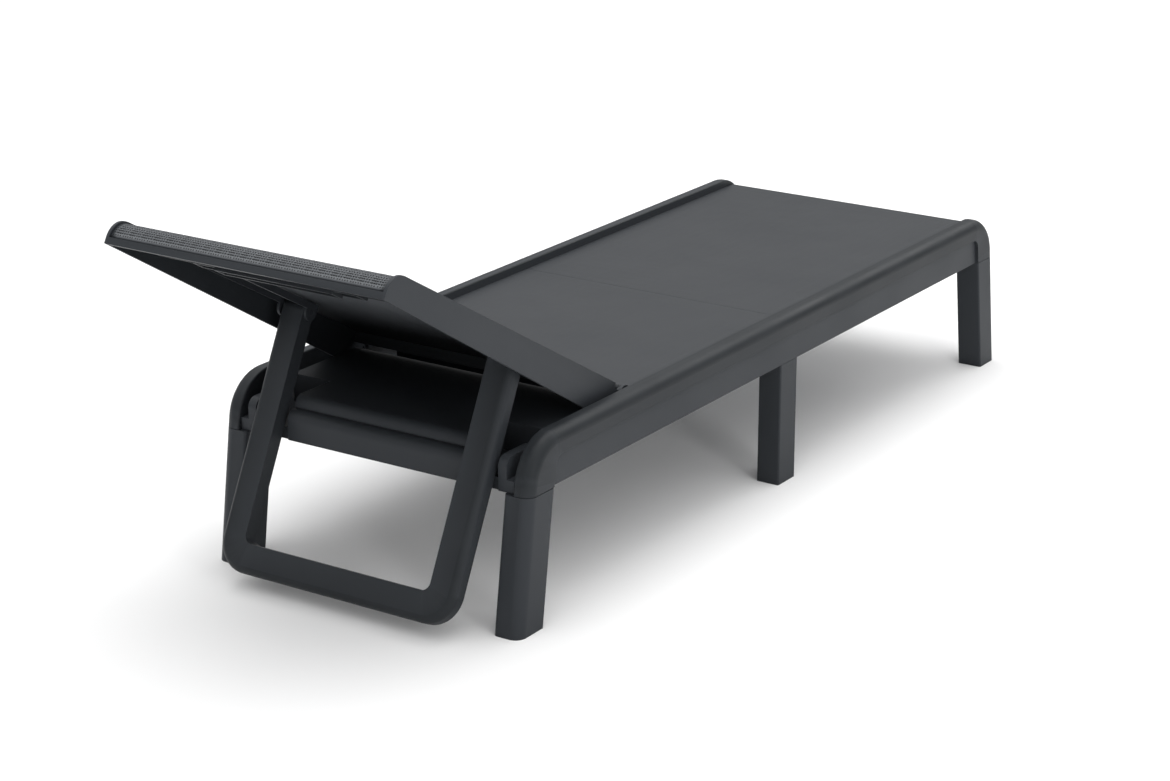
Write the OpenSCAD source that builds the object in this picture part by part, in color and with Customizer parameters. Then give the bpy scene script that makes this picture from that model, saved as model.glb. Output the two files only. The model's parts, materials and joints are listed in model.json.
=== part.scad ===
// Reclining sun lounger: moulded frame on six legs, lift-up backrest and a U-shaped prop.
// X runs from the head end to the foot end, Y to the user's left, Z up. Units are millimetres.

/* [Frame] */
// length between the outer toes of the head legs and the foot legs
frame_l = 1584; // [1400:1:1750]
// width over the side rails
frame_w = 572; // [480:1:700]
// height of the rail tops above the floor
rail_top = 293; // [250:1:400]
// height of the seat surface above the floor
deck_top = 279; // [240:1:390]
// width of a side rail
rail_w = 30; // [24:1:50]
// height of a side rail
rail_h = 35.5; // [28:0.5:60]
// rounding along the outer top edge of a rail
rail_round = 18; // [4:0.5:22]
// outer radius of the elbows where the rails turn down into the corner legs
elbow_r = 77; // [70:1:90]
// height of the aprons' lower edge
apron_low = 211; // [180:1:250]
// thickness of an apron
apron_t = 9; // [5:0.5:14]
// how far an apron stands back from the rail's outer face
apron_inset = 5; // [2:0.5:12]

/* [Legs] */
// lean of the four corner legs from vertical, in degrees
leg_lean = 8.1; // [0:0.1:15]
// size of a corner leg along the lounger
leg_d = 63; // [50:1:66]
// size of a corner leg across the lounger
leg_w = 46; // [36:1:60]
// size of a middle leg along the lounger
mid_leg_d = 55; // [40:1:70]
// size of a middle leg across the lounger
mid_leg_w = 42; // [30:1:60]
// place of the middle legs' centre, from the head legs' toes
mid_leg_x = 791.7; // [600:1:900]

/* [Seat] */
// head edge of the seat, from the head legs' toes
seat_head_x = 364; // [331:1:420]
// joint between the two seat panels, from the head legs' toes
seat_seam_x = 807; // [600:1:1000]
// set-back of the seat's foot lip from the foot legs' toes
seat_foot_inset = 54; // [50:1:80]
// rounding of the lips over the end beams
lip_r = 21; // [8:1:30]
// thickness of the panel skins
skin = 4.5; // [3:0.5:6]

/* [Backrest] */
// hinge axis from the head legs' toes
hinge_x = 340; // [311:1:356]
// hinge axis above the floor
hinge_z = 275; // [268:1:282]
// angle of the backrest above flat, in degrees
recline = 29.7; // [0:0.1:29.7]
// length from the hinge axis to the head end
back_l = 660; // [560:1:720]
// width over the backrest's sides
back_w = 496; // [420:1:500]
// height of the backrest's rim above the hinge axis when flat
back_rise = 10.5; // [8:0.5:14]
// depth of the backrest's sides at the hinge
back_depth_hinge = 59; // [40:1:62]
// depth of the backrest's sides at the head end
back_depth_head = 41.5; // [36:0.5:50]
// radius of the rolled head end
roll_r = 31; // [20:1:34]

/* [Prop] */
// pivot of the prop, along the backrest from the hinge
pivot_l = 263; // [240:1:290]
// pivot of the prop, below the hinge's level when flat
pivot_drop = 12; // [8:1:20]
// lean of the prop from vertical, in degrees
prop_lean = 26.1; // [0:0.1:80]
// width over the prop's arms
prop_w = 437; // [400:1:440]
// length from the pivot to the lower edge of the foot bar
prop_l = 407.5; // [380:0.5:420]
// width of the prop's bar
bar_w = 46; // [30:1:50]
// thickness of the prop's bar
bar_t = 26; // [20:1:30]
// rounding of the prop's lower corners
prop_corner_r = 50; // [26:1:60]

/* [Output] */
// piece to show, or all of them

/* [Hidden] */
$fn = 96;
gap = 0.3;
weld = 1.5;
hair = 0.1;
big = 2000;
body_colour = [0.235, 0.245, 0.255];
deck_colour = [0.30, 0.31, 0.32];
leg_colour = [0.22, 0.23, 0.24];

rail_out = frame_w / 2;
rail_in = rail_out - rail_w;
rail_low = rail_top - rail_h;
apron_out = rail_out - apron_inset;
apron_in = apron_out - apron_t;
elbow_z = rail_top - elbow_r;
elbow_x = elbow_r / cos(leg_lean) + elbow_z * tan(leg_lean);
rail_blank = leg_d + 4;
void_r = 18;
fillet_z = rail_low - void_r;
fillet_x = (leg_d + void_r) / cos(leg_lean) + fillet_z * tan(leg_lean);
part_z = 211;
lift = 0.8;
edge_r = 3;
leg_inner_r = 7;
lip_block = 24;

beam_front = 37;
beam_back = 107;
beam_top = 257.5;
beam_nose_r = 16;
beam_floor = 230;
arm_bay_in = 164;
arm_bay_out = 226;
side_groove = 241;
bearing_x = 40.5;
tooth_w = 22;
tooth_x = 35;
tooth_h = 9;

tray_top = 276;
tray_front = 56;
tray_step = 141;
tray_end = 298;
tray_half = 236;
channel_x = 273;
channel_end = 413;
wall = 4;

rib = 3;
rib_low = 261;
flange_low = 258;

rim = 3;
side_t = 5;
back_half = back_w / 2;
back_in = back_half - side_t;
back_head_x = 34.5;
hinge_lug_r = 15;
pin_r = 6;
pin_run = 0.08;
pin_fit = 0.04;
brace_l = 585;
brace_t = 26;
brace_low = -26;
brace_half = 230;
brace_step = 148;
brace_mid = 106;

arm_out = prop_w / 2;
arm_in = arm_out - bar_w;
arm_edge_r = 12;
arm_inner_r = 14;
eye_r = bar_t / 2;
pivot_r = 5;
lug_in = [arm_in - 5.5, arm_in - 0.8];
lug_out = [arm_out + 0.8, arm_out + 5.5];
notch_first = 178;
notch_pitch = 58;
notch_count = 4;
notch_l = 24;
notch_d = 7;
notch_w = 30;

// the origin is on the floor, under the middle of the lounger as it stands
tip_x = hinge_x - back_l * cos(recline) + (back_rise - back_depth_head) * sin(recline);
mid_x = (frame_l + tip_x) / 2;

// ---------------------------------------------------------------- helpers

module place() translate([-mid_x, 0, 0]) children();

// the right half is the mirror of the left half
module side(s) scale([1, s, 1]) children();

module block(a, b) translate(a) cube([for (i = [0:2]) b[i] - a[i]]);

// what an XZ outline sweeps between two places across the lounger
module across(y0, y1) translate([0, y1, 0]) rotate([90, 0, 0]) linear_extrude(y1 - y0) children();

module back_pose() translate([hinge_x, 0, hinge_z]) rotate([0, recline, 0]) children();

module prop_pose() back_pose() translate([-pivot_l, 0, -pivot_drop])
    rotate([0, prop_lean - recline, 0]) children();

module pin_across(r, y0, y1) translate([0, y1, 0]) rotate([90, 0, 0]) cylinder(r = r, h = y1 - y0);

// what a rounded corner of radius r takes away; dx and dy point into the material
module corner_waste(x, y, dx, dy, r) translate([x, y]) scale([dx, dy]) difference() {
    translate([-1, -1]) square(r + 1);
    translate([r, r]) circle(r);
}

// a bar's section: x is the depth below the outer surface, y is across the lounger
module bar_section(depth, y0, y1, outer_r, inner_r) difference() {
    translate([0, y0]) square([depth, y1 - y0]);
    corner_waste(0, y1, 1, -1, outer_r);
    corner_waste(0, y0, 1, 1, inner_r);
    corner_waste(depth, y0, -1, 1, edge_r);
    corner_waste(depth, y1, -1, -1, edge_r);
}

// mirrors a head-end shape to the foot end
module at_foot() translate([frame_l, 0, 0]) scale([-1, 1, 1]) children();

// ---------------------------------------------------------------- rails and legs

// a corner leg's line, from far below the floor to a length along it
module leg_line(length) rotate([0, leg_lean, 0]) translate([0, 0, -50])
    linear_extrude(50 + length) children();

// inner face of a corner leg at a height, moved in by a gap
function face_x(z, g) = (leg_d + g) / cos(leg_lean) + z * tan(leg_lean);

// space inside the head corner, under the rail and behind the leg, with a filleted corner
module corner_void(g) {
    r = void_r - g;
    top = rail_low - g;
    difference() {
        polygon([[face_x(0, g), 0], [face_x(top, g), top], [frame_l / 2 + 1, top], [frame_l / 2 + 1, 0]]);
        difference() {
            polygon([[face_x(top, g) - 2, top + 2], [fillet_x, top + 2], [fillet_x, fillet_z],
                [fillet_x - (r + 2) * cos(leg_lean), fillet_z + (r + 2) * sin(leg_lean)]]);
            translate([fillet_x, fillet_z]) circle(r);
        }
    }
}

module frame_void(g) {
    corner_void(g);
    translate([frame_l, 0]) scale([-1, 1]) corner_void(g);
}

module elbow() translate([elbow_x, 0, elbow_z]) rotate([-90, leg_lean - 180, 0])
    rotate_extrude(angle = 90 - leg_lean) translate([elbow_r, 0]) scale([-1, 1])
    bar_section(rail_blank, rail_in, rail_out, rail_round, edge_r);

// the straights are a hair slimmer than the elbow and run into its end faces
module slim_section() translate([hair, 0])
    bar_section(rail_blank - 2 * hair, rail_in + hair, rail_out - hair, rail_round - hair, edge_r);

module tenon(grow) rotate([0, leg_lean, 0])
    block([14 - grow, 262 - grow, 170], [40 + grow, 278 + grow, 234 + grow]);

module rail_end() {
    difference() {
        union() {
            intersection() {
                leg_line(elbow_x * sin(leg_lean) + elbow_z * cos(leg_lean) + weld) slim_section();
                block([-100, 0, part_z], [300, big, big]);
            }
            elbow();
        }
        tenon(gap);
    }
}

module rail_straight() translate([elbow_x - weld, 0, rail_top]) rotate([0, 90, 0])
    linear_extrude(frame_l - 2 * elbow_x + 2 * weld) slim_section();

module rail(s) place() side(s) difference() {
    union() {
        rail_end();
        at_foot() rail_end();
        rail_straight();
    }
    across(rail_in - 1, rail_out + 1) frame_void(0);
    translate([hinge_x, 0, hinge_z]) pin_across(pin_r + pin_fit, rail_in - 1, rail_in + 16);
}

module rail_left() color(body_colour) rail(1);

module rail_right() color(body_colour) rail(-1);

// an apron fills the void behind the rail, down to its own lower edge
module apron(s) place() side(s) intersection() {
    across(apron_in, apron_out) frame_void(gap);
    block([0, 0, apron_low], [frame_l, big, rail_top]);
}

module apron_left() color(body_colour) apron(1);

module apron_right() color(body_colour) apron(-1);

module corner_leg(s) place() side(s) union() {
    intersection() {
        leg_line(400) bar_section(leg_d, rail_out - leg_w, rail_out, rail_round, leg_inner_r);
        block([-100, 0, 0], [200, big, part_z - lift]);
    }
    intersection() {
        tenon(0);
        block([-100, 0, 180], [200, big, big]);
    }
}

module leg_head_left() color(leg_colour) corner_leg(1);

module leg_head_right() color(leg_colour) corner_leg(-1);

module foot_leg(s) translate([frame_l - 2 * mid_x, 0, 0]) scale([-1, 1, 1]) corner_leg(s);

module leg_foot_left() color(leg_colour) foot_leg(1);

module leg_foot_right() color(leg_colour) foot_leg(-1);

module mid_tenon(grow) block([mid_leg_x - 16 - grow, 245 - grow, 180],
    [mid_leg_x + 16 + grow, 266 + grow, 236 + grow]);

module middle_leg(s) place() side(s) union() {
    translate([mid_leg_x - mid_leg_d / 2, 0, 0]) linear_extrude(apron_low - gap)
        bar_section(mid_leg_d, apron_out - mid_leg_w, apron_out, edge_r, edge_r);
    mid_tenon(0);
}

module leg_middle_left() color(leg_colour) middle_leg(1);

module leg_middle_right() color(leg_colour) middle_leg(-1);

// ---------------------------------------------------------------- beams under the deck

// outline of an end beam: upright front, rounded nose, hollow underneath
module beam_outline(top) difference() {
    union() {
        translate([beam_front, part_z]) square([beam_back - beam_front, top - beam_nose_r - part_z]);
        translate([beam_front + beam_nose_r, part_z])
            square([beam_back - beam_front - beam_nose_r, top - part_z]);
        translate([beam_front + beam_nose_r, top - beam_nose_r]) circle(beam_nose_r);
    }
    translate([beam_front + 2 * wall, part_z - 1])
        square([beam_back - beam_front - 4 * wall, beam_floor - wall - part_z + 1]);
}

module beam_run(y0, y1, top) across(y0, y1) beam_outline(top);

// the tooth stands in front of the bearing edge and catches a notch of the prop
module tooth() {
    mid = (arm_in + arm_out) / 2;
    block([tooth_x, mid - tooth_w / 2, beam_floor - tooth_h], [bearing_x + 1, mid + tooth_w / 2, beam_floor]);
}

module beam_head() color(body_colour) place() difference() {
    union() {
        beam_run(-arm_bay_in, arm_bay_in, beam_top);
        for (s = [-1, 1]) side(s) {
            beam_run(arm_bay_out, side_groove, beam_top + 6);
            difference() {
                beam_run(arm_bay_in - 1, rail_in - gap, beam_top);
                block([0, arm_bay_in, beam_floor], [big, big, big]);
                block([0, arm_bay_in, 0], [bearing_x, arm_bay_out, big]);
            }
            tooth();
            block([beam_back - 1, arm_bay_in - 3, beam_floor - 2 * wall],
                [tray_step + 3 * wall, rail_in - gap, beam_floor]);
        }
    }
}

module beam_foot() color(body_colour) place() at_foot()
    beam_run(-(rail_in - gap), rail_in - gap, beam_top);

// open-topped channel between the aprons
module channel(x0, x1, top) difference() {
    block([x0, -(apron_in - gap), apron_low], [x1, apron_in - gap, top]);
    block([x0 + 2 * wall, -(apron_in - 2 * wall), apron_low + wall],
        [x1 - 2 * wall, apron_in - 2 * wall, big]);
}

// webs on it carry the tray and the seat panel, clear of the backrest's sides
module channel_hinge() color(body_colour) place() {
    channel(channel_x, channel_end, 228);
    for (x = [channel_x, channel_end - 2 * wall])
        block([x, -tray_half, 220], [x + 2 * wall, tray_half, flange_low - gap]);
}

module channel_middle() color(body_colour) place() difference() {
    union() {
        channel(mid_leg_x - 24, seat_seam_x + 34, rail_low - gap);
        for (s = [-1, 1]) side(s)
            block([mid_leg_x - 23, 238, apron_low + 1], [mid_leg_x + 24, apron_in - 1, 242]);
    }
    for (s = [-1, 1]) side(s) mid_tenon(gap);
}

// ---------------------------------------------------------------- panels

// a lip's quarter round along a panel's head edge
module lip_cut(x, r, top) translate([x, 0, top]) across(-big / 2, big / 2)
    corner_waste(0, 0, 1, -1, r);

// keeps a lip solid behind its rounding
module lip_solid(x0, x1, half, top) block([x0, -half, flange_low], [x1, half, top]);

module panel_shell(x0, x1, half, top, low) difference() {
    block([x0, -half, low], [x1, half, top]);
    block([x0 + wall, -half + wall, low - 1], [x1 - wall, half - wall, top - skin]);
}

// ribs under a skin: long ones along the lounger and short ones across it
module ribs(x0, x1, half, top, n_long, n_cross) {
    for (i = [1:n_long]) {
        y = -half + 2 * half * i / (n_long + 1);
        block([x0 + 1, y - rib / 2, rib_low], [x1 - 1, y + rib / 2, top - 1]);
    }
    for (i = [1:n_cross]) {
        x = x0 + (x1 - x0) * i / (n_cross + 1);
        block([x - rib / 2, -half + 1, rib_low], [x + rib / 2, half - 1, top - 1]);
    }
}

module seat_panel(x0, x1) {
    panel_shell(x0, x1, rail_in - gap, deck_top, flange_low);
    ribs(x0, x1, rail_in - gap, deck_top, 5, 5);
}

module seat_panel_head() color(deck_colour) place() difference() {
    seat_panel(seat_head_x, seat_seam_x - gap);
    lip_cut(seat_head_x, 6, deck_top);
}

module seat_panel_foot() color(deck_colour) place() difference() {
    union() {
        seat_panel(seat_seam_x + gap, frame_l - seat_foot_inset);
        lip_solid(frame_l - seat_foot_inset - lip_block, frame_l - seat_foot_inset,
            rail_in - gap, deck_top);
    }
    translate([frame_l, 0, 0]) scale([-1, 1, 1]) lip_cut(seat_foot_inset, lip_r, deck_top);
}

module tray_head() color(deck_colour) place() difference() {
    union() {
        panel_shell(tray_front, tray_step + wall, arm_bay_in, tray_top, flange_low);
        panel_shell(tray_step, tray_end, tray_half, tray_top, flange_low);
        ribs(tray_step, tray_end, tray_half, tray_top, 5, 1);
        lip_solid(tray_front, tray_front + lip_block, arm_bay_in, tray_top);
        block([tray_step, -tray_half, beam_floor + gap], [tray_step + wall, tray_half, tray_top]);
        for (s = [-1, 1]) side(s)
            block([beam_back + gap, arm_bay_in - wall, beam_floor + gap], [tray_step + 1, arm_bay_in, tray_top]);
    }
    lip_cut(tray_front, 16, tray_top);
}

// ---------------------------------------------------------------- hinge

// shouldered pin: head inside the backrest's side, collar against the rail
module hinge_pin(s) place() translate([hinge_x, 0, hinge_z]) side(s) {
    pin_across(pin_r, back_in - 5, rail_in + 15);
    pin_across(pin_r + 4, back_in - 6, back_in - 0.4);
    pin_across(pin_r + 3, back_half + 0.4, rail_in - 0.4);
}

module hinge_pin_left() color(leg_colour) hinge_pin(1);

module hinge_pin_right() color(leg_colour) hinge_pin(-1);

// ---------------------------------------------------------------- backrest, drawn flat

// lower edge of the sides at a distance from the hinge
function side_low(l) = back_rise - back_depth_hinge + (back_depth_hinge - back_depth_head) * l / back_l;

module side_outline() union() {
    difference() {
        polygon([[-back_head_x, back_rise], [-back_head_x, 2], [-10, 2], [-10, -hinge_lug_r],
            [-70, side_low(70)], [-back_l, side_low(back_l)], [-back_l, back_rise]]);
        roll_cut(roll_r, back_rise);
    }
    circle(hinge_lug_r);
}

// clears what lies outside the rolled head end
module roll_cut(r, top) corner_waste(-back_l, top, 1, -1, r);

module backrest_frame() color(body_colour) place() back_pose() difference() {
    union() {
        for (s = [-1, 1]) side(s) across(back_in, back_half) side_outline();
        across(-back_in - 1, back_in + 1) translate([-back_l, back_rise - back_depth_head])
            square([rim + skin, back_depth_head - roll_r - gap]);
        across(-back_in - 1, back_in + 1) translate([-back_head_x - rim, -12])
            square([rim, back_rise + 12]);
    }
    pin_across(pin_r + pin_run, -back_half - 1, back_half + 1);
}

// skin with a rolled end, one rim's depth below the sides
module panel_outline() {
    top = back_rise - rim;
    low_r = roll_r - rim;
    difference() {
        translate([-back_l + rim, back_rise - roll_r]) square([back_l - rim - back_head_x - rim - gap, roll_r - rim]);
        translate([-back_l + roll_r, back_rise - roll_r - 1]) square([back_l, roll_r - rim - skin + 1]);
        translate([-back_l + roll_r, back_rise - roll_r]) circle(low_r - skin);
        corner_waste(-back_l + rim, top, 1, -1, low_r);
    }
}

module backrest_panel() color(deck_colour) place() back_pose()
    across(-(back_in - gap), back_in - gap) panel_outline();

// a lug of the brace that holds one end of a prop pin
module pivot_lug(y0, y1) difference() {
    union() {
        translate([-pivot_l, 0, -pivot_drop]) pin_across(eye_r, y0, y1);
        block([-pivot_l - eye_r, y0, -pivot_drop], [-pivot_l + eye_r, y1, brace_top()]);
    }
    translate([-pivot_l, 0, -pivot_drop]) pin_across(pivot_r + pin_fit, y0 - 1, y1 + 1);
}

function brace_top() = back_rise - rim - skin - gap;

// one hollow box of the row under the head end
module brace_box(y0, y1, low) difference() {
    block([-brace_l, y0, low], [-brace_l + brace_t, y1, brace_top()]);
    block([-brace_l + wall, y0 + wall, low - 1],
        [-brace_l + brace_t - wall, y1 - wall, brace_top() - wall]);
}

// row of boxes under the head end, spine ribs and the prop's pivot lugs
module backrest_brace() color(leg_colour) place() back_pose() {
    brace_box(-brace_mid, brace_mid, brace_low);
    for (s = [-1, 1]) side(s) {
        brace_box(brace_mid - wall, brace_step, brace_low + 4);
        brace_box(brace_step - wall, brace_half, brace_low + 8);
    }
    for (s = [-1, 1]) side(s) {
        block([-brace_l + brace_t - 1, lug_out[0], -8], [-pivot_l - eye_r + 1, lug_out[1], brace_top()]);
        block([-brace_l + brace_t - 1, lug_in[0], -8], [-pivot_l - eye_r + 1, lug_in[1], brace_top()]);
        pivot_lug(lug_in[0], lug_in[1]);
        pivot_lug(lug_out[0], lug_out[1]);
    }
}

// ---------------------------------------------------------------- prop, drawn upright, pivot at the origin

// half of the U seen along the lounger
module prop_outline() difference() {
    union() {
        translate([-arm_out, -prop_l + prop_corner_r]) square([2 * arm_out, prop_l - prop_corner_r]);
        translate([-arm_out + prop_corner_r, -prop_l]) square([2 * (arm_out - prop_corner_r), prop_l]);
        for (s = [-1, 1]) translate([s * (arm_out - prop_corner_r), -prop_l + prop_corner_r]) circle(prop_corner_r);
    }
    translate([-arm_in + arm_inner_r, -prop_l + bar_w]) square([2 * (arm_in - arm_inner_r), prop_l]);
    translate([-arm_in, -prop_l + bar_w + arm_inner_r]) square([2 * arm_in, prop_l]);
    for (s = [-1, 1]) translate([s * (arm_in - arm_inner_r), -prop_l + bar_w + arm_inner_r]) circle(arm_inner_r);
}

// what the rounded front edge takes off; x points out of the bar, y to its front
module edge_waste() corner_waste(0, 0, -1, -1, arm_edge_r);

module edge_cut() {
    for (s = [-1, 1]) side(s) {
        translate([0, 0, -prop_l + prop_corner_r]) linear_extrude(prop_l)
            translate([-bar_t / 2, arm_out]) rotate(90) edge_waste();
        translate([0, arm_out - prop_corner_r, -prop_l + prop_corner_r]) rotate([0, -90, 0])
            rotate([0, 0, 90]) rotate_extrude(angle = 90) translate([prop_corner_r, bar_t / 2]) edge_waste();
    }
    translate([-bar_t / 2, 0, -prop_l]) rotate([90, 0, 0])
        linear_extrude(2 * (arm_out - prop_corner_r), center = true) rotate(180) edge_waste();
}

// blind ratchet notches on the side that bears on the head beam
module notches() {
    mid = (arm_in + arm_out) / 2;
    for (s = [-1, 1], i = [0:notch_count - 1]) side(s)
        block([bar_t / 2 - notch_d, mid - notch_w / 2, -notch_first - i * notch_pitch - notch_l / 2],
            [bar_t, mid + notch_w / 2, -notch_first - i * notch_pitch + notch_l / 2]);
}

module prop_frame() color(body_colour) place() prop_pose() difference() {
    union() {
        rotate([90, 0, 90]) translate([0, 0, -bar_t / 2]) linear_extrude(bar_t) prop_outline();
        for (s = [-1, 1]) side(s) pin_across(eye_r, arm_in, arm_out);
    }
    edge_cut();
    notches();
    for (s = [-1, 1]) side(s) pin_across(pivot_r + pin_run, arm_in - 1, arm_out + 1);
}

module prop_pin(s) place() back_pose() translate([-pivot_l, 0, -pivot_drop]) side(s)
    pin_across(pivot_r, lug_in[0], lug_out[1]);

module prop_pin_left() color(leg_colour) prop_pin(1);

module prop_pin_right() color(leg_colour) prop_pin(-1);

// ---------------------------------------------------------------- output

rail_left();
rail_right();
apron_left();
apron_right();
leg_head_left();
leg_head_right();
leg_middle_left();
leg_middle_right();
leg_foot_left();
leg_foot_right();
beam_head();
beam_foot();
channel_hinge();
channel_middle();
tray_head();
seat_panel_head();
seat_panel_foot();
hinge_pin_left();
hinge_pin_right();
backrest_frame();
backrest_panel();
backrest_brace();
prop_pin_left();
prop_pin_right();
prop_frame();
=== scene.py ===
"""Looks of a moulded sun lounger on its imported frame: finishes, perforated skin, floor, light, camera."""

import json
import logging
import math
from dataclasses import dataclass
from enum import Enum

import bmesh
import bpy
from mathutils import Matrix, Vector

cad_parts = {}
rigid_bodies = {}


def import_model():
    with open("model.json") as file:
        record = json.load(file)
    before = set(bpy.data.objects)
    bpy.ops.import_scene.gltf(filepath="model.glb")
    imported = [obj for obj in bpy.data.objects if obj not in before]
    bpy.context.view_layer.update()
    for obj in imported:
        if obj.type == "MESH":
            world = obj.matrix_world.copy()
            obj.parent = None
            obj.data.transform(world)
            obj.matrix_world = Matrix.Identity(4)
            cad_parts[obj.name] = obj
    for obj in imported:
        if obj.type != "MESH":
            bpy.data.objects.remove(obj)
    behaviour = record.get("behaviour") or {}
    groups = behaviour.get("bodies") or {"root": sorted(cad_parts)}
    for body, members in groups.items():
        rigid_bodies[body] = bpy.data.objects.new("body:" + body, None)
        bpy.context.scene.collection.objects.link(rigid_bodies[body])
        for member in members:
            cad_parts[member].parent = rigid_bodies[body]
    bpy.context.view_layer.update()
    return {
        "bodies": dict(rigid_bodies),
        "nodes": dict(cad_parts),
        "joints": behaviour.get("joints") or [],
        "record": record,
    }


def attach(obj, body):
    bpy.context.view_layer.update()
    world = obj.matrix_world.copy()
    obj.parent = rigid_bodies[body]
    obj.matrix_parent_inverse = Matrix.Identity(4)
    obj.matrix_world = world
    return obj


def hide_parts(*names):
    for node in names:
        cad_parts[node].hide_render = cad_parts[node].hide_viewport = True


LOG = logging.getLogger("lounger")
MM = 0.001


class Body(Enum):
    """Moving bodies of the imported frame."""

    FRAME = "frame"
    BACKREST = "backrest"
    PROP = "prop"


class Slot(Enum):
    """Material slots of the record."""

    FRAME = "frame_plastic"
    WEAVE = "woven_grain_plastic"
    SMOOTH = "smooth_plastic"
    PIN = "pin_plastic"


def linear(colour: str) -> tuple[float, float, float, float]:
    """Turns an sRGB hex colour to linear RGBA.

    Args:
        colour: six hex digits after a hash sign.

    Returns:
        Linear red, green, blue and an alpha of 1.
    """
    parts = [int(colour[i : i + 2], 16) / 255 for i in (1, 3, 5)]
    lin = [c / 12.92 if c <= 0.04045 else ((c + 0.055) / 1.055) ** 2.4 for c in parts]
    return (lin[0], lin[1], lin[2], 1.0)


def add_node(
    tree: bpy.types.NodeTree, kind: str, settings: dict | None = None, **inputs: object
) -> bpy.types.Node:
    """Adds a node with its settings, values and links.

    Args:
        tree: the node tree.
        kind: the node's type name, without its ShaderNode prefix.
        settings: properties of the node itself.
        **inputs: a value, or a socket to link from, for each input. A name is the input's name with
            underscores for spaces, or i0, i1 and so on for an input by its place.

    Returns:
        The new node.
    """
    node = tree.nodes.new("ShaderNode" + kind)
    for name, value in (settings or {}).items():
        setattr(node, name, value)
    for name, value in inputs.items():
        by_place = name[0] == "i" and name[1:].isdigit()
        socket = node.inputs[int(name[1:])] if by_place else node.inputs[name.replace("_", " ")]
        if isinstance(value, bpy.types.NodeSocket):
            tree.links.new(value, socket)
        else:
            socket.default_value = value
    return node


@dataclass(frozen=True)
class MouldedPolypropylene:
    """Injection-moulded polypropylene, mass-coloured anthracite, from a spark-eroded mould.

    It gives the eye a soft, wide highlight on every rounding and a dry matt face; convex edges carry a
    painted highlight, a lighter colour picked by pointiness.
    """

    name: str = "polypropylene_satin_moulded"
    body: str = "#2a2d30"
    # painted highlight: colour put on convex edges, picked by pointiness
    shade: str = "#25282b"
    edge: str = "#34373b"
    roughness: float = 0.46
    specular: float = 0.18
    ior: float = 1.49
    # spark-eroded grain is about 0.2 mm; drawn at 1.6 mm so that it still shows
    grain_mm: float = 1.6
    grain_height_mm: float = 0.035
    # flow marks are about 90 mm long
    flow_mm: float = 90.0
    edge_round_mm: float = 1.2

    def build(self) -> bpy.types.Material:
        """Makes the material.

        Returns:
            The new material, with its nodes.
        """
        material = bpy.data.materials.new(self.name)
        material.use_nodes = True
        tree = material.node_tree
        tree.nodes.clear()
        place = add_node(tree, "TexCoord").outputs["Object"]
        colour = self.colour(tree, place)
        soft = add_node(tree, "Bevel", {"samples": 4}, Radius=self.edge_round_mm * MM)
        bump = self.relief(tree, place, soft.outputs["Normal"])
        rough = self.polish(tree, place)
        shader = add_node(
            tree,
            "BsdfPrincipled",
            Base_Color=colour,
            Roughness=rough,
            Normal=bump,
            IOR=self.ior,
            Specular_IOR_Level=self.specular,
        )
        add_node(tree, "OutputMaterial", Surface=shader.outputs["BSDF"])
        return material

    def noise(
        self, tree: bpy.types.NodeTree, place: bpy.types.NodeSocket, size_mm: float, detail: float
    ) -> bpy.types.NodeSocket:
        """Adds a noise whose bumps are of a real size.

        Args:
            tree: the node tree.
            place: coordinates in metres.
            size_mm: size of one bump.
            detail: octaves.

        Returns:
            The noise's value socket.
        """
        return add_node(tree, "TexNoise", Vector=place, Scale=1 / (size_mm * MM), Detail=detail).outputs[0]

    def colour(self, tree: bpy.types.NodeTree, place: bpy.types.NodeSocket) -> bpy.types.NodeSocket:
        """Mixes the body colour with its flow shade and paints convex edges in the edge colour, a painted
        highlight.

        Args:
            tree: the node tree.
            place: coordinates in metres.

        Returns:
            The colour socket.
        """
        flow = add_node(tree, "ValToRGB", Fac=self.noise(tree, place, self.flow_mm, 3.0))
        low, high = flow.color_ramp.elements
        low.position, high.position = 0.35, 0.65
        low.color, high.color = linear(self.shade), linear(self.body)
        # painted highlight on convex edges, picked by pointiness
        outer = add_node(tree, "NewGeometry").outputs["Pointiness"]
        wear_and_sheen = add_node(tree, "MapRange", i0=outer, i1=0.52, i2=0.6)
        mix = add_node(
            tree, "Mix", {"data_type": "RGBA"},
            i0=wear_and_sheen.outputs[0], i6=flow.outputs["Color"], i7=linear(self.edge),
        )
        return mix.outputs[2]

    def relief(
        self, tree: bpy.types.NodeTree, place: bpy.types.NodeSocket, normal: bpy.types.NodeSocket
    ) -> bpy.types.NodeSocket:
        """Adds the mould's fine grain.

        Args:
            tree: the node tree.
            place: coordinates in metres.
            normal: the normal that the grain stands on.

        Returns:
            The normal socket.
        """
        grain = self.noise(tree, place, self.grain_mm, 2.0)
        return add_node(
            tree, "Bump", Strength=1.0, Distance=self.grain_height_mm * MM, Height=grain, Normal=normal
        ).outputs["Normal"]

    def polish(self, tree: bpy.types.NodeTree, place: bpy.types.NodeSocket) -> bpy.types.NodeSocket:
        """Varies the roughness a little, as handling does.

        Args:
            tree: the node tree.
            place: coordinates in metres.

        Returns:
            The roughness socket.
        """
        wear_and_sheen = add_node(
            tree, "MapRange", i0=self.noise(tree, place, 2 * self.flow_mm, 2.0), i1=0.3, i2=0.7,
            i3=self.roughness - 0.04, i4=self.roughness + 0.05,
        )
        return wear_and_sheen.outputs[0]


class Chart(Enum):
    """Where a surface pattern takes its place from."""

    ROW = "Object"
    SHEET = "UV"


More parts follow.
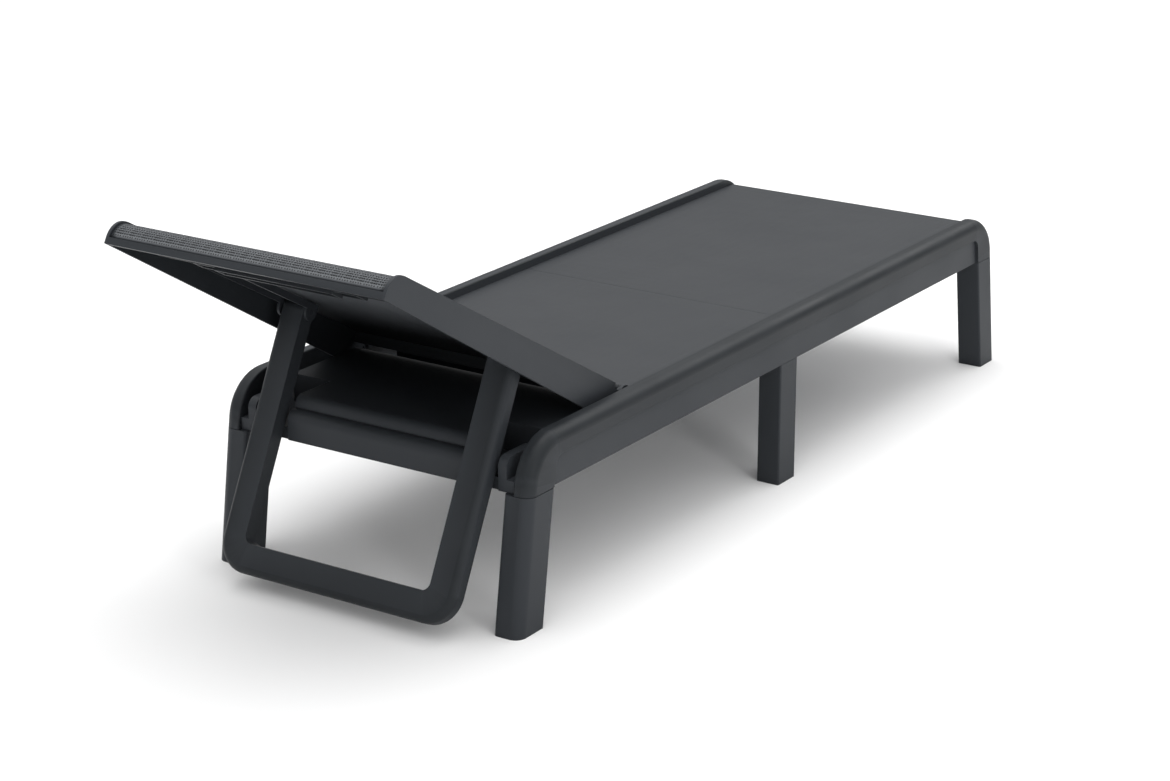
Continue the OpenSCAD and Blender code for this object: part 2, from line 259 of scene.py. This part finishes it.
@dataclass(frozen=True)
class WovenGrain(MouldedPolypropylene):
    """Polypropylene moulded with square pits in blocks, like a coarse woven cloth.

    The pits are painted with a near-black shade, which darkens the sheet, and their bump breaks its highlight
    into a fine grid, with a slightly wider line between blocks.
    """

    name: str = "polypropylene_woven_grain"
    body: str = "#76797d"
    shade: str = "#6e7175"
    # painted shade: near-black colour put in the pits for the shade inside them
    painted_pit_shade: str = "#161718"
    roughness: float = 0.5
    specular: float = 0.3
    chart: Chart = Chart.ROW
    # five pits of 4.2 mm and a 1.5 mm line make a block of 22.5 mm
    pitch_mm: float = 4.2
    pit_mm: float = 2.3
    block_mm: float = 22.5
    pits_per_block: int = 5
    pit_depth_mm: float = 0.5
    # how much of the painted pit shade covers each pit
    painted_shade_cover: float = 0.9

    def teeth(self, tree: bpy.types.NodeTree, along: bpy.types.NodeSocket) -> bpy.types.NodeSocket:
        """Makes a row of pits along one direction.

        Args:
            tree: the node tree.
            along: distance along the direction, in metres.

        Returns:
            A socket that is 1 within a pit and 0 between pits.
        """
        wrap = {"operation": "FLOORED_MODULO"}
        block = add_node(tree, "Math", wrap, i0=along, i1=self.block_mm * MM)
        cell = add_node(tree, "Math", wrap, i0=block.outputs[0], i1=self.pitch_mm * MM)
        edge = self.pit_mm * MM
        inside = add_node(tree, "Math", {"operation": "LESS_THAN"}, i0=cell.outputs[0], i1=edge)
        last = self.pits_per_block * self.pitch_mm * MM
        within = add_node(tree, "Math", {"operation": "LESS_THAN"}, i0=block.outputs[0], i1=last)
        both = add_node(tree, "Math", {"operation": "MULTIPLY"}, i0=inside.outputs[0], i1=within.outputs[0])
        return both.outputs[0]

    def pits(self, tree: bpy.types.NodeTree) -> bpy.types.NodeSocket:
        """Makes the grid of pits, on upward faces only.

        Args:
            tree: the node tree.

        Returns:
            A socket that is 1 within a pit.
        """
        source = add_node(tree, "TexCoord")
        place = add_node(tree, "SeparateXYZ", i0=source.outputs[self.chart.value])
        grid = add_node(
            tree, "Math", {"operation": "MULTIPLY"},
            i0=self.teeth(tree, place.outputs[0]), i1=self.teeth(tree, place.outputs[1]),
        )
        up = add_node(tree, "SeparateXYZ", i0=source.outputs["Normal"])
        top = add_node(tree, "Math", {"operation": "GREATER_THAN"}, i0=up.outputs[2], i1=0.6)
        both = add_node(tree, "Math", {"operation": "MULTIPLY"}, i0=grid.outputs[0], i1=top.outputs[0])
        return both.outputs[0]

    def colour(self, tree: bpy.types.NodeTree, place: bpy.types.NodeSocket) -> bpy.types.NodeSocket:
        """Paints shade into the pits, darkening them.

        Args:
            tree: the node tree.
            place: coordinates in metres.

        Returns:
            The colour socket.
        """
        plain = super().colour(tree, place)
        # painted shade in the pits
        pit_shade = add_node(tree, "Math", {"operation": "MULTIPLY"}, i0=self.pits(tree), i1=self.painted_shade_cover)
        mix = add_node(tree, "Mix", {"data_type": "RGBA"}, i0=pit_shade.outputs[0], i6=plain, i7=linear(self.painted_pit_shade))
        return mix.outputs[2]

    def relief(
        self, tree: bpy.types.NodeTree, place: bpy.types.NodeSocket, normal: bpy.types.NodeSocket
    ) -> bpy.types.NodeSocket:
        """Sinks the pits below the skin.

        Args:
            tree: the node tree.
            place: coordinates in metres.
            normal: the normal that the grain stands on.

        Returns:
            The normal socket.
        """
        grain = super().relief(tree, place, normal)
        return add_node(
            tree, "Bump", {"invert": True}, Strength=0.4, Distance=self.pit_depth_mm * MM,
            Height=self.pits(tree), Normal=grain,
        ).outputs["Normal"]


@dataclass(frozen=True)
class FloorPaint:
    """Matt white emulsion on a seamless floor, rolled on.

    It gives the eye an even pale ground with faint roller clouds, and takes soft grey shadows.
    """

    paint: str = "#f7f7f7"
    cloud: str = "#f3f3f3"
    cloud_mm: float = 700.0

    def build(self) -> bpy.types.Material:
        """Makes the material.

        Returns:
            The new material.
        """
        material = bpy.data.materials.new("floor_matt_paint")
        material.use_nodes = True
        tree = material.node_tree
        tree.nodes.clear()
        place = add_node(tree, "TexCoord").outputs["Object"]
        clouds = add_node(tree, "TexNoise", Vector=place, Scale=1 / (self.cloud_mm * MM), Detail=2.0)
        tone = add_node(
            tree, "Mix", {"data_type": "RGBA"},
            i0=clouds.outputs[0], i6=linear(self.cloud), i7=linear(self.paint),
        )
        shader = add_node(tree, "BsdfDiffuse", Color=tone.outputs[2], Roughness=0.6)
        add_node(tree, "OutputMaterial", Surface=shader.outputs["BSDF"])
        return material


@dataclass(frozen=True)
class PerforatedSkin:
    """Backrest skin with a rolled head end, pierced with square holes along the roll.

    Sizes are in millimetres in the backrest's own plane: distance from the hinge towards the head
    is negative x, and the skin is drawn from the lower edge of the roll to the hinge end.
    """

    head_x: float = -657.0
    top: float = 7.5
    roll_r: float = 28.0
    thickness: float = 2.6
    hinge_end: float = -37.8
    half_width: float = 242.7
    first_row: float = 8.0
    rows: int = 12
    rows_per_block: int = 4
    pitch: float = 4.2
    hole: float = 2.3
    block: float = 22.5
    per_block: int = 5

    def point(self, along: float, sink: float) -> tuple[float, float]:
        """Finds a point of the profile.

        Args:
            along: distance along the outer surface, from the lower edge of the roll.
            sink: depth below the outer surface.

        Returns:
            x and z in the backrest's plane.
        """
        quarter = self.roll_r * math.pi / 2
        centre = (self.head_x + self.roll_r, self.top - self.roll_r)
        if along >= quarter:
            return centre[0] + along - quarter, self.top - sink
        turn = along / self.roll_r
        r = self.roll_r - sink
        return centre[0] - r * math.cos(turn), centre[1] + r * math.sin(turn)

    def row_breaks(self) -> list[tuple[float, bool]]:
        """Lists where the rows of holes start and end.

        Returns:
            Distance along the profile, and whether a row of holes starts there.
        """
        quarter = self.roll_r * math.pi / 2
        length = quarter + self.hinge_end - (self.head_x + self.roll_r)
        breaks, at = [(0.0, False), (self.first_row / 2, False)], self.first_row
        for i in range(self.rows):
            breaks += [(at, True), (at + self.hole, False)]
            at += self.pitch + (1.5 if i % self.rows_per_block == self.rows_per_block - 1 else 0.0)
        return breaks + [(length, False)]

    def column_breaks(self) -> list[tuple[float, bool]]:
        """Lists where the columns of holes start and end.

        Returns:
            Distance across the skin, and whether a column of holes starts there.
        """
        blocks = int((2 * self.half_width - 8) // self.block)
        start = -blocks * self.block / 2
        breaks = [(-self.half_width, False)]
        for i in range(blocks):
            for j in range(self.per_block):
                at = start + i * self.block + j * self.pitch + 0.75
                breaks += [(at, True), (at + self.hole, False)]
        return breaks + [(self.half_width, False)]

    def build(self, pose: Matrix) -> bpy.types.Object:
        """Builds the skin.

        Args:
            pose: places the backrest's plane in the row frame.

        Returns:
            The skin, not yet riding on a body.
        """
        rows, columns = self.row_breaks(), self.column_breaks()
        shape = bmesh.new()
        chart = shape.loops.layers.uv.new("weave")
        where = {}
        for k, sink in enumerate((0.0, self.thickness)):
            for i, (s, _) in enumerate(rows):
                x, z = self.point(s, sink)
                for j, (y, _) in enumerate(columns):
                    vert = shape.verts.new(pose @ (Vector((x, y, z)) * MM))
                    where[k, i, j] = vert

        def face(corners: list[tuple[int, int, int]], smooth: bool) -> None:
            """Adds one face and its place in the weave.

            Args:
                corners: skin (0 outer, 1 inner), row and column of each corner.
                smooth: whether it is shaded smooth.
            """
            made = shape.faces.new([where[c] for c in corners])
            made.smooth = smooth
            for loop, (_, i, j) in zip(made.loops, corners):
                loop[chart].uv = (rows[i][0] * MM, columns[j][0] * MM)

        last_row, last_column = len(rows) - 1, len(columns) - 1

        def solid(i: int, j: int) -> bool:
            """Tells whether a cell is plastic, and not a hole or past the edge.

            Args:
                i: the cell's row.
                j: the cell's column.

            Returns:
                True where there is plastic.
            """
            inside = 0 <= i < last_row and 0 <= j < last_column
            return inside and not (rows[i][1] and columns[j][1])

        for i in range(last_row):
            for j in range(last_column):
                if not solid(i, j):
                    continue
                ring = [(i, j), (i, j + 1), (i + 1, j + 1), (i + 1, j)]
                face([(0, *c) for c in reversed(ring)], True)
                face([(1, *c) for c in ring], True)
                for n, (di, dj) in enumerate(((-1, 0), (0, 1), (1, 0), (0, -1))):
                    if not solid(i + di, j + dj):
                        a, b = ring[n], ring[(n + 1) % 4]
                        face([(0, *a), (0, *b), (1, *b), (1, *a)], False)
        bmesh.ops.recalc_face_normals(shape, faces=shape.faces)
        mesh = bpy.data.meshes.new("backrest_skin")
        shape.to_mesh(mesh)
        shape.free()
        skin = bpy.data.objects.new("backrest_skin", mesh)
        bpy.context.scene.collection.objects.link(skin)
        LOG.info("backrest_skin: %d faces", len(mesh.polygons))
        return skin


class Lounger:
    """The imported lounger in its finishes, with the pieces that stand for plain CAD ones."""

    recline_deg = 29.7
    weave_nodes = ("seat_panel_head", "seat_panel_foot")
    smooth_nodes = ("tray_head",)

    def __init__(self, frame: dict) -> None:
        """Keeps the frame.
        """
        self.frame = frame
        joint = next(j for j in frame["joints"] if j["name"] == "backrest_recline")
        turn = Matrix.Rotation(math.radians(self.recline_deg), 4, "Y")
        self.back_pose = Matrix.Translation(Vector(joint["pos_m"])) @ turn

    def build(self) -> None:
        """Gives every node its finish and adds the skin."""
        plain = MouldedPolypropylene().build()
        weave = WovenGrain().build()
        smooth = MouldedPolypropylene(
            name="polypropylene_smooth_matt", body="#25282b", shade="#202326",
            roughness=0.52, grain_height_mm=0.02,
        ).build()
        acetal = MouldedPolypropylene(
            name="acetal_turned_pin", body="#26282a", shade="#222425",
            roughness=0.35, grain_height_mm=0.01,
        ).build()
        for name, node in self.frame["nodes"].items():
            if name in self.weave_nodes:
                finish = weave
            elif name in self.smooth_nodes:
                finish = smooth
            elif "_pin_" in name:
                finish = acetal
            else:
                finish = plain
            self.dress(node, finish)
        sheet = WovenGrain(name="polypropylene_woven_grain_sheet", chart=Chart.SHEET)
        skin = PerforatedSkin().build(self.back_pose)
        self.dress(skin, sheet.build())
        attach(skin, Body.BACKREST.value)
        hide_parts("backrest_panel")

    def dress(self, piece: bpy.types.Object, finish: bpy.types.Material) -> None:
        """Puts one finish on a piece.

        Args:
            piece: a CAD node or a built piece.
            finish: its material.
        """
        piece.data.materials.clear()
        piece.data.materials.append(finish)
        LOG.info("%s: %s", piece.name, finish.name)


@dataclass(frozen=True)
class SoftBox:
    """One rectangular soft light."""

    name: str
    place: tuple[float, float, float]
    aim: tuple[float, float, float]
    size: tuple[float, float]
    watts: float

    def build(self) -> None:
        """Adds the light."""
        lamp = bpy.data.lights.new(self.name, "AREA")
        lamp.shape, lamp.size, lamp.size_y, lamp.energy = "RECTANGLE", *self.size, self.watts
        holder = bpy.data.objects.new(self.name, lamp)
        holder.location = self.place
        toward = Vector(self.aim) - Vector(self.place)
        holder.rotation_euler = toward.to_track_quat("-Z", "Y").to_euler()
        bpy.context.scene.collection.objects.link(holder)


class Studio:
    """White floor, soft light and the camera."""

    lens_mm = 85.0
    sensor_mm = 36.0
    eye = (-3.6715, -2.390, 1.635)
    turn_deg = (71.18, 0.0, -56.487)
    floor_half = 40.0
    horizon = 0.10
    zenith = 1.28
    boxes = (
        SoftBox("overhead_box", (0.3, 0.2, 4.0), (0.0, 0.0, 0.2), (3.6, 3.0), 90.0),
        SoftBox("foot_end_box", (5.0, -0.9, 3.2), (0.0, 0.0, 0.3), (3.0, 1.4), 45.0),
        SoftBox("side_box", (-2.4, -4.6, 1.7), (0.0, 0.0, 0.3), (1.0, 1.6), 22.0),
    )

    def build(self) -> None:
        """Makes the floor, the sky, the lights and the camera."""
        bpy.context.scene.view_settings.view_transform = "Standard"
        self.floor()
        self.sky()
        for box in self.boxes:
            box.build()
        self.camera()

    def floor(self) -> None:
        """Makes the floor."""
        h = self.floor_half
        mesh = bpy.data.meshes.new("studio_floor")
        mesh.from_pydata([(-h, -h, 0), (h, -h, 0), (h, h, 0), (-h, h, 0)], [], [(0, 1, 2, 3)])
        mesh.materials.append(FloorPaint().build())
        floor = bpy.data.objects.new("studio_floor", mesh)
        bpy.context.scene.collection.objects.link(floor)

    def sky(self) -> None:
        """Makes the white surround: bright overhead, dimmer towards the horizon."""
        world = bpy.data.worlds.new("studio_surround")
        world.use_nodes = True
        tree = world.node_tree
        tree.nodes.clear()
        way = add_node(tree, "SeparateXYZ", i0=add_node(tree, "TexCoord").outputs["Generated"])
        light = add_node(
            tree, "MapRange", i0=way.outputs[2], i1=0.0, i2=0.8, i3=self.horizon, i4=self.zenith
        )
        sky = add_node(tree, "Background", Color=(1.0, 1.0, 1.0, 1.0), Strength=light.outputs[0])
        add_node(tree, "OutputWorld", Surface=sky.outputs[0])
        bpy.context.scene.world = world

    def camera(self) -> None:
        """Makes the camera."""
        lens = bpy.data.cameras.new("camera")
        lens.lens, lens.sensor_width = self.lens_mm, self.sensor_mm
        holder = bpy.data.objects.new("camera", lens)
        holder.location = self.eye
        holder.rotation_euler = [math.radians(a) for a in self.turn_deg]
        bpy.context.scene.collection.objects.link(holder)
        bpy.context.scene.camera = holder


def main() -> None:
    """Builds the scene."""
    logging.basicConfig(level=logging.INFO)
    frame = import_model()
    Lounger(frame).build()
    Studio().build()


if __name__ == "__main__":
    main()
